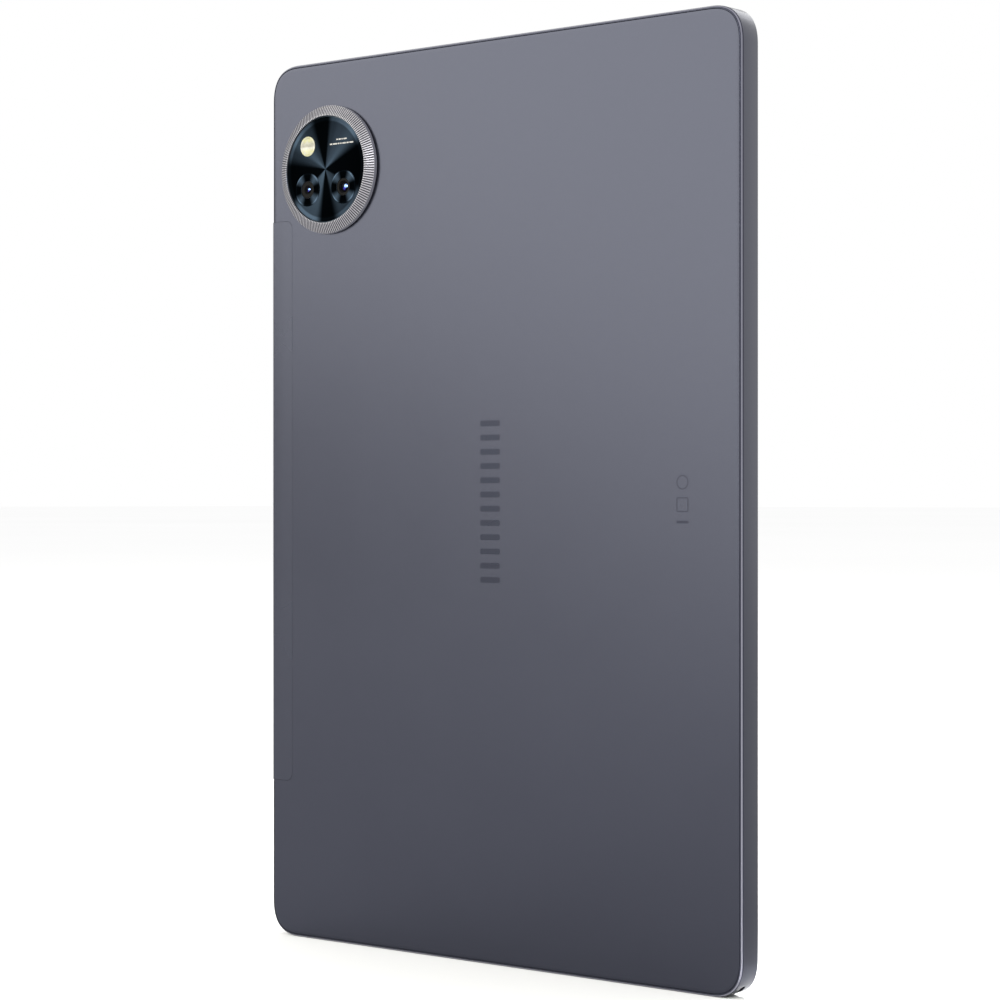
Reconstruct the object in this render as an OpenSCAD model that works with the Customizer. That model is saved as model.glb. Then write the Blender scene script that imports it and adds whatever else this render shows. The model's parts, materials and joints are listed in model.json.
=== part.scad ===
// Tablet computer standing on its lower short edge: +Z runs up the long side, the screen
// faces -Y and the camera side faces +Y. The origin is at the middle of the lower edge.
//
// Every module draws in a flat layout first: x across, y up the tablet, and z as the depth
// below the flat back, growing toward the screen. stand() then puts the layout upright.

/* [Body] */
// Width across the short side
body_w = 167.8; // [160:0.1:180]
// Height along the long side
body_h = 254; // [245:0.1:270]
// Thickness without the camera bump
body_t = 7.5; // [7.3:0.1:9]
// Radius of the outer corners
corner_r = 8.5; // [7:0.1:12]
// Width of the polished chamfer round the back
back_chamfer = 0.6; // [0.3:0.05:0.8]
// Width of the small chamfer round the screen
front_chamfer = 0.4; // [0.2:0.05:0.6]
// Thickness of the side frame's rear wall
wall = 1.8; // [1.4:0.1:2.2]
// Width of the frame's thick front half, which carries the glass
front_wall = 3.2; // [2.8:0.1:4]
// Thickness of the rear cover
cover_t = 0.8; // [0.6:0.1:1]
// Gap between the rim and the rear cover
seam = 0.14; // [0.05:0.01:0.2]

/* [Screen] */
// Thickness of the cover glass
glass_t = 0.6; // [0.5:0.05:0.8]
// Width of the display panel
panel_w = 152; // [146:0.5:155]
// Height of the display panel
panel_h = 240; // [230:0.5:242]
// Thickness of the display panel
panel_t = 0.85; // [0.6:0.05:1]
// Thickness of the backlight unit
backlight_t = 0.75; // [0.5:0.05:0.9]
// Thickness of the mid plate
plate_t = 0.5; // [0.4:0.05:0.6]

/* [Camera] */
// Camera centre, from the middle of the tablet
camera_x = 60.4; // [55:0.1:62]
// Camera centre, down from the top edge
camera_down = 31.5; // [28:0.1:36]
// Height of the camera bump over the back
bump_h = 2.4; // [1.8:0.1:3]
// Radius of the bezel at its base
bezel_r = 18.45; // [17:0.05:19]
// Radius of the bezel's thin top lip
lip_r = 15.8; // [15:0.05:16.5]
// Radius of the camera disc
disc_r = 15.25; // [14:0.05:15.5]
// Radius of each lens surround
lens_r = 4.8; // [4:0.1:5]
// Radius of the flash lens
flash_r = 2.9; // [2:0.1:3]

/* [Antenna cover] */
// Lower end of the cover, from the lower edge
antenna_low = 45.3; // [42:0.1:60]
// Upper end of the cover, down from the top edge
antenna_down = 45.2; // [44:0.1:60]
// Width of the cover across the back
antenna_w = 8.1; // [6:0.1:9]

/* [Buttons and tray] */
// Length of the power button
power_len = 12.1; // [9:0.1:14]
// Middle of the power button, from the middle of the tablet
power_x = 54.85; // [48:0.05:58]
// Height of both buttons across the tablet's thickness
button_w = 2.2; // [1.8:0.1:2.6]
// How far the buttons stand out
button_out = 0.5; // [0.3:0.05:0.8]
// Length of the volume rocker
rocker_len = 22; // [18:0.5:26]
// Middle of the volume rocker, down from the top edge
rocker_down = 28; // [26:0.5:30]
// Middle of the card tray, from the lower edge
tray_y = 30; // [29:0.5:31]
// Length of the card tray into the body
tray_len = 23; // [20:0.5:24]
// Width of the card tray
tray_w = 13.4; // [12:0.1:14]

/* [Hidden] */
$fn = 96;

eps = 0.01;                       // overlap of cutting tools past a face
fit = 0.05;                       // assembly clearance between fixed pieces
half_w = body_w / 2;
bump_top = -bump_h;
back_y = (body_t - bump_h) / 2;   // centres the thickness, bump included, on the origin
mid_z = body_t / 2;               // middle of the side wall
seat_z = body_t - glass_t - 0.15; // ledge that carries the display adhesive
glass_z = body_t - glass_t;
panel_z = glass_z - panel_t;
backlight_z = panel_z - backlight_t;
plate_z = backlight_z - 0.1 - plate_t;
rim_in = back_chamfer + 0.18;     // inner edge of the flat rim beside the chamfer
glass_in = 0.9;                   // inset of the glass from the outline
step_z = plate_z - 0.4;           // depth where the frame's wall thickens
cover_in = rim_in + seam;
screen_y = body_h / 2;

camera_y = body_h - camera_down;
bezel_z = -bump_h / 2;            // lower edge of the conical bezel
foot_z = -0.28;                   // underside of the bezel, over the gasket
neck_r = bezel_r - 0.65;
hole_r = neck_r + 0.1;            // camera hole in the rear cover
neck_z = cover_t + 0.6;
shelf_z = bump_top + 1.07;        // shelf that carries the disc
lens_at = [[-7.12, -5.58], [7.01, -5.44]];
flash_at = [7.06, 7.09];
lens_aperture = 2.5;
screw_angles = [80, 200, 320];    // screws that hold the camera ring to its bracket
screw_ring_r = neck_r - 0.6;

antenna_run = body_h - antenna_down - antenna_low;
antenna_r = 2.3;                  // inner corners of the antenna cover
antenna_wall = 1.1;               // side wall of the antenna cover

battery_y = 42;
battery_h = 142;
battery_w = 66;
battery_t = 3.1;
battery_gap = 12;                 // channel between the two cells
board_z = plate_z - 0.8;          // component side of both boards
board_t = 0.7;
flex_x = 12;                      // side of the display flex
socket_w = 8.94;
socket_t = 3.16;
socket_len = 7.3;
socket_z = 3.5;                   // middle of the charging socket in the thickness
socket_y = wall - 0.6;            // mouth of the shell, behind the frame's face

slot_len = 2.4;
slot_w = 1.7;
slot_pitch = 3.25;
slot_count = 8;
slot_start = 7.1;                 // first slot, along the outline from a long side
speaker_w = 23;
speaker_d = 14.5;
upper_speaker_x = [-66.5, 27];
mic_r = 0.5;
mic_at = [[-12.5, -1], [-20, 1]]; // x, and the side: -1 lower edge, 1 upper edge

tray_z = 3.05;                    // middle of the tray in the thickness
tray_t = 1.3;
face_len = tray_w + 1.6;
face_w = 2.5;
face_t = 1.1;

aluminium = "slategray";
steel = "silver";
black = [0.08, 0.08, 0.09];
board_green = [0.05, 0.25, 0.18];
copper = [0.75, 0.45, 0.25];

// Puts the flat layout upright: x stays, y becomes Z, and depth runs toward -Y
module stand() translate([0, back_y, 0]) rotate([90, 0, 0]) children();

// Box given by its low corner and size in the flat layout
module block(x, y, z, w, h, t) translate([x, y, z]) cube([w, h, t]);

// Rounded rectangle with its middle at the origin
module rounded(w, h, r) {
    square([w - 2 * r, h], center = true);
    square([w, h - 2 * r], center = true);
    for (sx = [-1, 1], sy = [-1, 1])
        translate([sx * (w / 2 - r), sy * (h / 2 - r)]) circle(r);
}

// The tablet's outline drawn in by a distance, as a plate from z0 to z1
module plate(inset, z0, z1) {
    translate([0, screen_y, z0])
        linear_extrude(z1 - z0)
            rounded(body_w - 2 * inset, body_h - 2 * inset, corner_r - inset);
}

// Profile of [inset from the outline, depth] points swept round the whole outline
module swept(profile) {
    points = [for (p = profile) [-p[0], p[1]]];
    for (k = [0:3]) {
        long = k % 2 == 0;
        reach = long ? body_w / 2 : body_h / 2;
        run = (long ? body_h : body_w) - 2 * corner_r;
        translate([0, screen_y, 0]) rotate([0, 0, 90 * k]) {
            translate([reach, run / 2, 0]) rotate([90, 0, 0]) linear_extrude(run)
                polygon(points);
            translate([reach - corner_r, run / 2, 0]) rotate_extrude(angle = 90)
                polygon([for (p = points) [corner_r + p[0], p[1]]]);
        }
    }
}

// Stadium-shaped peg along +x with its long side along y
module slot_peg(length, width, depth) {
    straight = length - width;
    rotate([0, 90, 0]) {
        linear_extrude(depth) square([width, straight], center = true);
        for (s = [-1, 1]) translate([0, s * straight / 2, 0])
            cylinder(d = width, h = depth);
    }
}

// Places children at a distance along the outline, measured round a corner from the
// middle of the corner's start on a long side, with +x pointing outward
module along_outline(run, side_x, side_y) {
    arc = corner_r * PI / 2;
    angle = min(run, arc) / arc * 90;
    past = max(run - arc, 0);
    mirror([side_x < 0 ? 1 : 0, 0, 0])
        translate([0, screen_y, 0])
            mirror([0, side_y < 0 ? 1 : 0, 0])
                translate([half_w - corner_r - past, screen_y - corner_r, 0])
                    rotate([0, 0, angle]) translate([corner_r, 0, 0]) children();
}

// Row of speaker slots that starts on a corner, less the first few
module corner_slots(side_x, side_y, skipped = 0) {
    for (i = [skipped:slot_count - 1])
        along_outline(slot_start + i * slot_pitch, side_x, side_y)
            translate([-front_wall - 0.3, 0, mid_z])
                slot_peg(slot_len, slot_w, front_wall + 1);
}

// Row of speaker slots on the upper edge over the inner speaker
module straight_slots(x) {
    for (i = [0:6])
        translate([x + (i - 3) * slot_pitch, body_h - front_wall - 0.3, mid_z])
            rotate([0, 0, 90]) slot_peg(slot_len, slot_w, front_wall + 1);
}

// ---- casing -------------------------------------------------------------------

module side_frame() stand() color(aluminium) difference() {
    swept([
        [0, back_chamfer + 0.08], [0, body_t - front_chamfer],
        [front_chamfer, body_t], [glass_in - fit, body_t],
        [glass_in - fit, seat_z], [front_wall, seat_z], [front_wall, step_z],
        [wall, step_z], [wall, cover_t], [rim_in, cover_t], [rim_in, 0],
        [back_chamfer, 0], [0.06, back_chamfer - 0.06], [0.06, back_chamfer + 0.02]
    ]);
    // long opening for the antenna cover
    block(half_w - antenna_wall - 0.1, antenna_low, -1, 2, antenna_run, body_t + 2);
    block(half_w - front_wall - eps, antenna_low, -1, front_wall + 1, antenna_run,
        step_z + 1);
    corner_slots(-1, -1);
    corner_slots(1, -1);
    corner_slots(-1, 1, 2);
    straight_slots(upper_speaker_x[1]);
    // charging socket
    translate([0, -1, socket_z]) rotate([0, 0, 90])
        slot_peg(socket_w + 0.3, socket_t + 0.3, front_wall + 2);
    // power button and volume rocker
    translate([power_x, body_h - front_wall - 1, mid_z]) rotate([0, 0, 90])
        slot_peg(power_len + 0.2, button_w + 0.2, front_wall + 2);
    translate([half_w - front_wall - 1, body_h - rocker_down, mid_z])
        slot_peg(rocker_len + 0.3, button_w + 0.2, front_wall + 2);
    // room behind the thick wall for the two button caps' retaining flanges
    block(power_x - power_len / 2 - 1.2, body_h - front_wall - 1, step_z - eps,
        power_len + 2.4, front_wall - 0.8, 0.5);
    // card tray face in the outer wall, then the narrower throat behind it
    translate([half_w - face_t - 0.4, tray_y, tray_z])
        slot_peg(face_len + 0.16, face_w + 0.16, 3);
    block(half_w - front_wall - 1, tray_y - tray_w / 2 - 0.25, tray_z - tray_t / 2 - 0.2,
        front_wall + 2, tray_w + 0.5, tray_t + 0.4);
    // microphone holes
    for (m = mic_at) translate([m[0], m[1] > 0 ? body_h + 1 : -1, mid_z])
        rotate([m[1] > 0 ? 90 : -90, 0, 0]) cylinder(r = mic_r, h = front_wall + 2);
}

module rear_cover() stand() color(aluminium) difference() {
    bevel_w = 0.45;
    bevel_z = 0.1;
    union() {
        swept([[cover_in, bevel_z], [cover_in, cover_t - fit], [6, cover_t - fit], [6, 0],
            [cover_in + bevel_w, 0]]);
        plate(6, 0, cover_t - fit);
    }
    translate([half_w + 2, (antenna_low + body_h - antenna_down) / 2, -1])
        linear_extrude(cover_t + 2)
            rounded(2 * (antenna_w + 2 + fit), antenna_run + 2 * fit, antenna_r + fit);
    translate([camera_x, camera_y, -1]) cylinder(r = hole_r, h = cover_t + 2);
}

module antenna_cover() stand() color(aluminium) {
    low = antenna_low + fit;
    run = antenna_run - 2 * fit;
    // side wall with the frame's own outline
    translate([half_w, low + run, 0]) rotate([90, 0, 0]) linear_extrude(run)
        polygon([[0, back_chamfer], [0, body_t - front_chamfer], [-front_chamfer, body_t],
            [-glass_in + fit, body_t], [-glass_in + fit, seat_z],
            [-antenna_wall, seat_z], [-antenna_wall, 0], [-back_chamfer, 0]]);
    // flange across the back with rounded inner corners
    difference() {
        translate([half_w, low + run / 2, 0]) linear_extrude(cover_t - fit)
            rounded(2 * antenna_w, run, antenna_r);
        block(half_w - antenna_wall, low - 1, -1, antenna_w + 2, run + 2, cover_t + 2);
    }
}

module antenna_carrier() stand() color(black) difference() {
    low = antenna_low + 4;
    run = antenna_run - 8;
    block(half_w - 7.6, low, cover_t + fit, 6.3, run, 2.4);
    // lightening pockets, open toward the screen
    for (i = [0:7]) block(half_w - 6.8, low + 3 + i * (run - 3) / 8, cover_t + 0.9, 4.7,
        (run - 3) / 8 - 3, 2);
}

module antenna_flex() stand() color(copper) {
    z = cover_t + 2.46;
    for (y = [60, 158]) block(half_w - 7.2, y, z, 0.8, 36, 0.08);
    for (y = [60, 158]) for (i = [0:2])
        block(half_w - 6.4, y + 4 + i * 12, z, 4.4, 2.2, 0.08);
    block(half_w - 7.2, 96, z, 0.8, 62, 0.08);
}

// ---- camera -------------------------------------------------------------------

module camera_place() stand() translate([camera_x, camera_y, 0]) children();

module camera_ring() camera_place() color(steel) difference() {
    rotate_extrude() polygon([
        [lip_r, bump_top], [bezel_r, bezel_z], [bezel_r, foot_z], [neck_r, foot_z],
        [neck_r, neck_z], [neck_r - 1.2, neck_z], [neck_r - 1.2, shelf_z + 0.75],
        [disc_r - 1, shelf_z + 0.75], [disc_r - 1, shelf_z], [disc_r + fit, shelf_z],
        [disc_r + fit, bump_top]
    ]);
    for (a = screw_angles) rotate([0, 0, a]) translate([screw_ring_r, 0, 0])
        cylinder(r = 0.4, h = neck_z + 1);
}

module camera_gasket() camera_place() color(black) difference() {
    translate([0, 0, foot_z]) cylinder(r = bezel_r - 0.35, h = -foot_z);
    translate([0, 0, foot_z - 1]) cylinder(r = neck_r + 0.02, h = 3);
}

module camera_disc() camera_place() color(black) difference() {
    translate([0, 0, bump_top + 0.35]) cylinder(r = disc_r, h = shelf_z - bump_top - 0.35);
    for (p = lens_at) translate([p[0], p[1], bump_top - 1]) cylinder(r = lens_r + fit, h = 4);
    translate([flash_at[0], flash_at[1], bump_top - 1]) cylinder(r = flash_r + fit, h = 4);
}

module lens_ring(k) camera_place() color(steel) translate([lens_at[k][0], lens_at[k][1], 0])
    rotate_extrude() polygon([
        [lens_aperture, bump_top + 0.2], [lens_r - 0.2, bump_top + 0.2],
        [lens_r, bump_top + 0.4], [lens_r, shelf_z + 0.3], [lens_aperture - 0.3, shelf_z + 0.3],
        [lens_aperture - 0.3, bump_top + 0.82], [lens_aperture, bump_top + 0.82]
    ]);

module main_lens_ring() lens_ring(0);
module second_lens_ring() lens_ring(1);

module lens_glass(k) camera_place() color([0.1, 0.15, 0.3, 0.6])
    translate([lens_at[k][0], lens_at[k][1], bump_top + 0.3])
        cylinder(r = lens_aperture - 0.02, h = 0.52);

module main_lens_glass() lens_glass(0);
module second_lens_glass() lens_glass(1);

module flash_lens() camera_place() color("ivory")
    translate([flash_at[0], flash_at[1], bump_top + 0.28]) cylinder(r = flash_r, h = 0.8);

module flash_led() camera_place() color("gold") {
    translate([flash_at[0] - 1, flash_at[1] - 1, -0.9]) cube([2, 2, 0.6]);
    translate([flash_at[0] - 2.4, flash_at[1] - 2.4, -0.3]) cube([4.8, 4.8, 0.4]);
}

module camera_housing(k, side, bore_r, floor_z) camera_place() color(black)
    translate([lens_at[k][0], lens_at[k][1], 0]) {
        difference() {
            translate([-side / 2, -side / 2, -0.3]) cube([side, side, plate_z + 0.2]);
            translate([0, 0, -1]) cylinder(r = bore_r, h = floor_z + 1);
        }
        // connector tail toward the main board
        translate([-side / 2 - 6, -1.6, plate_z - 0.4]) cube([6, 3.2, 0.2]);
    }

module main_camera_module() camera_housing(0, 9.5, 3.6, 3.6);
module second_camera_module() camera_housing(1, 6.5, 2.6, 3.4);

module main_camera_barrel() camera_place() color("darkslategray")
    translate([lens_at[0][0], lens_at[0][1], 0]) {
        translate([0, 0, -0.35]) cylinder(r = 3.3, h = 3.75);
        translate([0, 0, -0.9]) cylinder(r = 1.9, h = 0.6);
    }

module second_camera_barrel() camera_place() color("darkslategray")
    translate([lens_at[1][0], lens_at[1][1], 0]) {
        translate([0, 0, -0.3]) cylinder(r = 2.55, h = 3.65);
        translate([0, 0, -0.85]) cylinder(r = 1.8, h = 0.6);
    }

module camera_bracket() camera_place() color(steel) difference() {
    translate([0, 0, neck_z + 0.02]) cylinder(r = 19.4, h = 0.3);
    for (k = [0, 1]) {
        side = k == 0 ? 10 : 7;
        translate([lens_at[k][0] - side / 2, lens_at[k][1] - side / 2, 0])
            cube([side, side, 4]);
    }
    for (a = screw_angles) rotate([0, 0, a]) translate([screw_ring_r, 0, 0])
        cylinder(r = 0.45, h = 4);
}

// ---- screen -------------------------------------------------------------------

module cover_glass() stand() color(black) plate(glass_in, glass_z, body_t);

module display_adhesive() stand() color("black") difference() {
    plate(glass_in + fit, seat_z, glass_z);
    plate(front_wall - 0.2, seat_z - 1, glass_z + 1);
}

module screen_sheet(w, h, z, t) translate([0, screen_y, z]) linear_extrude(t)
    rounded(w, h, 1.5);

module display_panel() stand() color([0.02, 0.02, 0.03])
    screen_sheet(panel_w, panel_h, panel_z + 0.01, panel_t - 0.01);

module backlight_unit() stand() color("white")
    screen_sheet(panel_w, panel_h - 2, backlight_z, backlight_t - 0.01);

module mid_plate() stand() color(steel) difference() {
    plate(front_wall + fit, plate_z, plate_z + plate_t);
    // notches for the front camera, charging socket, display flex and side buttons
    block(75.9, screen_y - 2.7, plate_z - 1, 5, 5.4, 3);
    block(-5, 3, plate_z - 1, 10, 5.8, 3);
    block(flex_x - 1, 21.5, plate_z - 1, 14, 1.5, 3);
    block(78.4, body_h - rocker_down - 12, plate_z - 1, 4, 24, 3);
    block(power_x - 8, body_h - 6, plate_z - 1, 16, 5, 3);
    // rows of lightening holes beside the cells
    for (y = [50:12:176]) translate([0, y, plate_z - 1]) cylinder(d = 6, h = 3);
}

// Folds from the panel's lower end, through the mid plate, onto the lower board
module display_flex() stand() color(copper) {
    fold_z = board_z - 0.3;
    block(flex_x, 22, fold_z, 12, 0.3, backlight_z - fold_z - 0.02);
    block(flex_x, 13, fold_z, 12, 9, 0.18);
}

module front_camera() stand() color(black) difference() {
    block(76.2, screen_y - 2.2, 3.6, 4.3, 4.4, glass_z - 3.62);
    translate([78.35, screen_y, 4.6]) cylinder(r = 1.4, h = 3);
}

module light_sensor() stand() color("darkslategray")
    block(77.2, screen_y + 12, glass_z - 0.82, 2.4, 3.2, 0.8);

// ---- power --------------------------------------------------------------------

module battery_cell(side) stand() color("silver") {
    x = side > 0 ? battery_gap / 2 : -battery_gap / 2 - battery_w;
    translate([x + battery_w / 2, battery_y + battery_h / 2, plate_z - 0.06 - battery_t])
        linear_extrude(battery_t) rounded(battery_w, battery_h, 2);
    // folded seal with the protection board at the top end
    block(x + 4, battery_y + battery_h, plate_z - 2.2, battery_w - 8, 2.6, 1.6);
}

module left_battery_cell() battery_cell(1);
module right_battery_cell() battery_cell(-1);

module battery_lead() stand() color("firebrick") {
    block(-9, battery_y + battery_h + 2.62, plate_z - 1.5, 18, 2, 0.3);
    block(-4, battery_y + battery_h + 4.62, plate_z - 1.5, 8, 3, 0.3);
}

// ---- boards -------------------------------------------------------------------

board_low = battery_y + battery_h + 4.7;
board_top = body_h - 20;

module main_board() stand() color(board_green) difference() {
    translate([0, 0, board_z]) linear_extrude(board_t) polygon([
        [-52, board_low], [76, board_low], [76, board_low + 10.6], [38, board_low + 10.6],
        [38, board_top], [10, board_top], [10, body_h - 4], [-49, body_h - 4],
        [-49, board_top], [-52, board_top]]);
    for (p = board_screws()) translate([p[0], p[1], board_z - 1]) cylinder(r = 0.9, h = 3);
}

function board_screws() = [[-48, board_low + 4], [34, board_top - 4], [72, board_low + 4],
    [-45, body_h - 8], [6, body_h - 8], [-38, 9], [38, 9]];

module processor() stand() color(black)
    block(-16, board_low + 14, board_z - 1.12, 14, 14, 1.1);

module memory_chip() stand() color(black)
    block(2, board_low + 15, board_z - 0.92, 11.5, 13, 0.9);

module shield(x, y, w, h, t) stand() color(steel) difference() {
    block(x, y, board_z - t, w, h, t - 0.01);
    block(x + 0.2, y + 0.2, board_z - t + 0.2, w - 0.4, h - 0.4, t);
}

module processor_shield() shield(-19, board_low + 10.5, 36, 22, 1.6);
module radio_shield() shield(-47, board_low + 12, 25, 20, 1.6);

module heat_spreader() stand() color([0.2, 0.2, 0.2])
    block(-48, board_low + 2, cover_t + 0.1, 80, 37, 0.12);

module lower_board() stand() color(board_green) difference() {
    block(-42, 5, board_z, 84, 16, board_t);
    for (p = board_screws()) translate([p[0], p[1], board_z - 1]) cylinder(r = 0.9, h = 3);
    // cut-out that the charging socket sits in
    block(-socket_w / 2 - 0.1, 4, board_z - 1, socket_w + 0.2, socket_y + socket_len - 3.9, 3);
}

module charging_socket() stand() color(steel)
    translate([0, socket_y, socket_z]) rotate([0, 0, 90]) difference() {
        slot_peg(socket_w, socket_t, socket_len);
        translate([-1, 0, 0]) slot_peg(socket_w - 0.5, socket_t - 0.5, socket_len + 0.7);
    }

module charging_tongue() stand() color("black")
    block(-3.3, socket_y + 1.6, socket_z - 0.35, 6.6, socket_len - 1.95, 0.7);

module board_flex() stand() color(copper) {
    block(-4.5, 21.1, plate_z - 0.5, 9, board_low - 21.2, 0.12);
}

// ---- sound --------------------------------------------------------------------

module speaker(x, y) stand() color(black) difference() {
    block(x - speaker_w / 2, y - speaker_d / 2, cover_t + 0.15, speaker_w, speaker_d,
        step_z - cover_t - 0.25);
    translate([x - 3, y, cover_t - 1]) cylinder(r = 5.2, h = 1.6);
}

lower_speaker_y = wall + 0.6 + speaker_d / 2;
upper_speaker_y = body_h - lower_speaker_y;
lower_speaker_x = 66.5;

module upper_right_speaker() speaker(upper_speaker_x[0], upper_speaker_y);
module upper_left_speaker() speaker(upper_speaker_x[1], upper_speaker_y);
module lower_right_speaker() speaker(-lower_speaker_x, lower_speaker_y);
module lower_left_speaker() speaker(lower_speaker_x, lower_speaker_y);

module speaker_mesh(x, y) stand() color("black")
    block(x - 9.5, y, cover_t + 0.3, 19, 0.2, step_z - cover_t - 0.4);

module upper_right_mesh() speaker_mesh(upper_speaker_x[0], body_h - wall - 0.3);
module upper_left_mesh() speaker_mesh(upper_speaker_x[1], body_h - wall - 0.3);
module lower_right_mesh() speaker_mesh(-lower_speaker_x, wall + 0.1);
module lower_left_mesh() speaker_mesh(lower_speaker_x, wall + 0.1);

module microphones() stand() color("gold") for (m = mic_at)
    block(m[0] - 1.4, m[1] > 0 ? body_h - wall - 2.1 : wall + 0.1, board_z - 1.1, 2.8, 2,
        1.05);

// ---- buttons ------------------------------------------------------------------

module power_button() stand() color(steel) {
    translate([power_x, body_h - wall - 0.6, mid_z]) rotate([0, 0, 90])
        slot_peg(power_len, button_w, wall + 0.6 + button_out);
    block(power_x - power_len / 2 - 0.9, body_h - wall - 0.6, mid_z - button_w / 2,
        power_len + 1.8, 0.5, step_z - mid_z + button_w / 2 - 0.05);
    block(power_x - 1, body_h - wall - 1.3, mid_z - 0.7, 2, 0.75, 1.2);
}

module power_switch() stand() color("gold") {
    block(power_x - 2.2, body_h - wall - 2.9, mid_z - 1.2, 4.4, 1.2, 2);
    block(power_x - 5, body_h - wall - 3.3, mid_z - 1.6, 10, 0.4, 2.6);
}

rocker_y = body_h - rocker_down;
rocker_pivot = half_w - 2.3;

module volume_rocker() stand() color(steel) {
    translate([rocker_pivot, rocker_y, mid_z])
        slot_peg(rocker_len, button_w, half_w + button_out - rocker_pivot);
    block(rocker_pivot - 0.6, rocker_y - rocker_len / 2 - 0.8, mid_z - button_w / 2, 0.65,
        rocker_len + 1.6, step_z - mid_z + button_w / 2 - 0.05);
    for (s = [-1, 1]) block(rocker_pivot - 0.75, rocker_y + s * 6.5 - 0.8, mid_z - 0.7, 0.2,
        1.6, 1.1);
}

module volume_switches() stand() color("gold") {
    for (s = [-1, 1]) block(rocker_pivot - 1.75, rocker_y + s * 6.5 - 1.8, mid_z - 1.2,
        0.72, 3.6, 2);
    block(rocker_pivot - 2.1, rocker_y - 9.5, mid_z - 1.6, 0.34, 19, 2.4);
}

// ---- card tray ----------------------------------------------------------------

tray_inner = half_w - face_t - tray_len;

module card_tray() stand() color(aluminium) difference() {
    union() {
        translate([half_w - face_t, tray_y, tray_z]) slot_peg(face_len, face_w, face_t);
        block(tray_inner, tray_y - tray_w / 2, tray_z - tray_t / 2, tray_len + 0.1, tray_w,
            tray_t);
    }
    // two card pockets and the hole for an ejecting pin
    for (i = [0, 1]) block(tray_inner + 1.2 + i * 9.9, tray_y - tray_w / 2 + 0.9,
        tray_z - tray_t / 2 - 1, 9, tray_w - 1.8, tray_t + 0.75);
    translate([half_w - face_t - 1, tray_y - tray_w / 2 - 0.05, tray_z]) rotate([0, 90, 0])
        cylinder(r = 0.4, h = face_t + 2);
}

module tray_gasket() stand() color("black") difference() {
    translate([half_w - face_t - 0.37, tray_y, tray_z])
        slot_peg(face_len - 0.4, face_w - 0.3, 0.35);
    block(half_w - 4, tray_y - tray_w / 2 - 0.05, tray_z - tray_t / 2 - 0.05, 4,
        tray_w + 0.1, tray_t + 0.1);
}

module card_reader() stand() color(steel) difference() {
    block(tray_inner - 1.4, tray_y - tray_w / 2 - 0.5, tray_z - tray_t / 2 - 0.35,
        tray_len - 1.2, tray_w + 1, tray_t + 0.7);
    block(tray_inner - 1, tray_y - tray_w / 2 - 0.15, tray_z - tray_t / 2 - 0.15,
        tray_len + 2, tray_w + 0.3, tray_t + 0.3);
}

module eject_lever() stand() color(steel) {
    block(tray_inner - 0.9, tray_y - 3, tray_z - 0.3, 0.7, 7, 0.6);
}

// ---- fasteners ----------------------------------------------------------------

module screws() stand() color(steel) {
    for (p = board_screws()) translate([p[0], p[1], board_z - 0.62]) {
        cylinder(r = 1.3, h = 0.6);
        cylinder(r = 0.7, h = 0.62 + board_t + 0.09);
    }
    for (a = screw_angles) translate([camera_x, camera_y, 0]) rotate([0, 0, a])
        translate([screw_ring_r, 0, 0.1]) {
            cylinder(r = 0.36, h = neck_z + 0.3);
            translate([0, 0, neck_z + 0.24]) cylinder(r = 0.9, h = 0.3);
        }
}

side_frame();
rear_cover();
antenna_cover();
antenna_carrier();
antenna_flex();
camera_ring();
camera_gasket();
camera_disc();
main_lens_ring();
second_lens_ring();
main_lens_glass();
second_lens_glass();
flash_lens();
flash_led();
main_camera_module();
main_camera_barrel();
second_camera_module();
second_camera_barrel();
camera_bracket();
cover_glass();
display_adhesive();
display_panel();
backlight_unit();
mid_plate();
display_flex();
front_camera();
light_sensor();
left_battery_cell();
right_battery_cell();
battery_lead();
main_board();
processor();
memory_chip();
processor_shield();
radio_shield();
heat_spreader();
lower_board();
charging_socket();
charging_tongue();
board_flex();
upper_left_speaker();
upper_right_speaker();
lower_left_speaker();
lower_right_speaker();
upper_left_mesh();
upper_right_mesh();
lower_left_mesh();
lower_right_mesh();
power_button();
power_switch();
volume_rocker();
volume_switches();
card_tray();
tray_gasket();
card_reader();
eject_lever();
microphones();
screws();
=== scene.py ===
import json
import math

import bmesh
import bpy
from mathutils import Matrix, Quaternion, Vector


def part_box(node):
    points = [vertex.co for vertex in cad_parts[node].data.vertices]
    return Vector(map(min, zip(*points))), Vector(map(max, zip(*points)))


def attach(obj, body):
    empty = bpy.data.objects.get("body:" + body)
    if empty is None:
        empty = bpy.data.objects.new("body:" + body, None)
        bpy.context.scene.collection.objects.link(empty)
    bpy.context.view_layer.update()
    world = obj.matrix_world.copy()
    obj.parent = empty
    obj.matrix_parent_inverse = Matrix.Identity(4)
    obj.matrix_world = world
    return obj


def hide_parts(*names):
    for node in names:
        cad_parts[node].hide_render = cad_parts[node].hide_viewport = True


# Looks of a tablet computer that stands on its lower short edge, seen from behind. Lengths are in
# millimetres, and MM turns them into Blender's metres. "Depth" runs from the flat back toward the
# screen, as in the CAD model, so the camera bump has negative depths.

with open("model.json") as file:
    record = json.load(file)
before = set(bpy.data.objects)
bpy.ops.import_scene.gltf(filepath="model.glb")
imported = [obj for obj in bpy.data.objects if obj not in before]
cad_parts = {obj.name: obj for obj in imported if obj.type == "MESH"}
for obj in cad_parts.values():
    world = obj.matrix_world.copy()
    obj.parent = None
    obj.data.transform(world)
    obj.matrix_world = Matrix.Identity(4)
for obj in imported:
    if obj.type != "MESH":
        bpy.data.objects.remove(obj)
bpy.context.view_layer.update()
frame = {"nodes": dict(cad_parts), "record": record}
MM = 0.001


def middle(node):
    """Middle of a CAD node across and up, in mm."""
    low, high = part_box(node)
    return (low.x + high.x) / 2 / MM, (low.z + high.z) / 2 / MM


def half_width(node):
    """Half of a CAD node's reach across, in mm."""
    low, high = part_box(node)
    return (high.x - low.x) / 2 / MM


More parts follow.
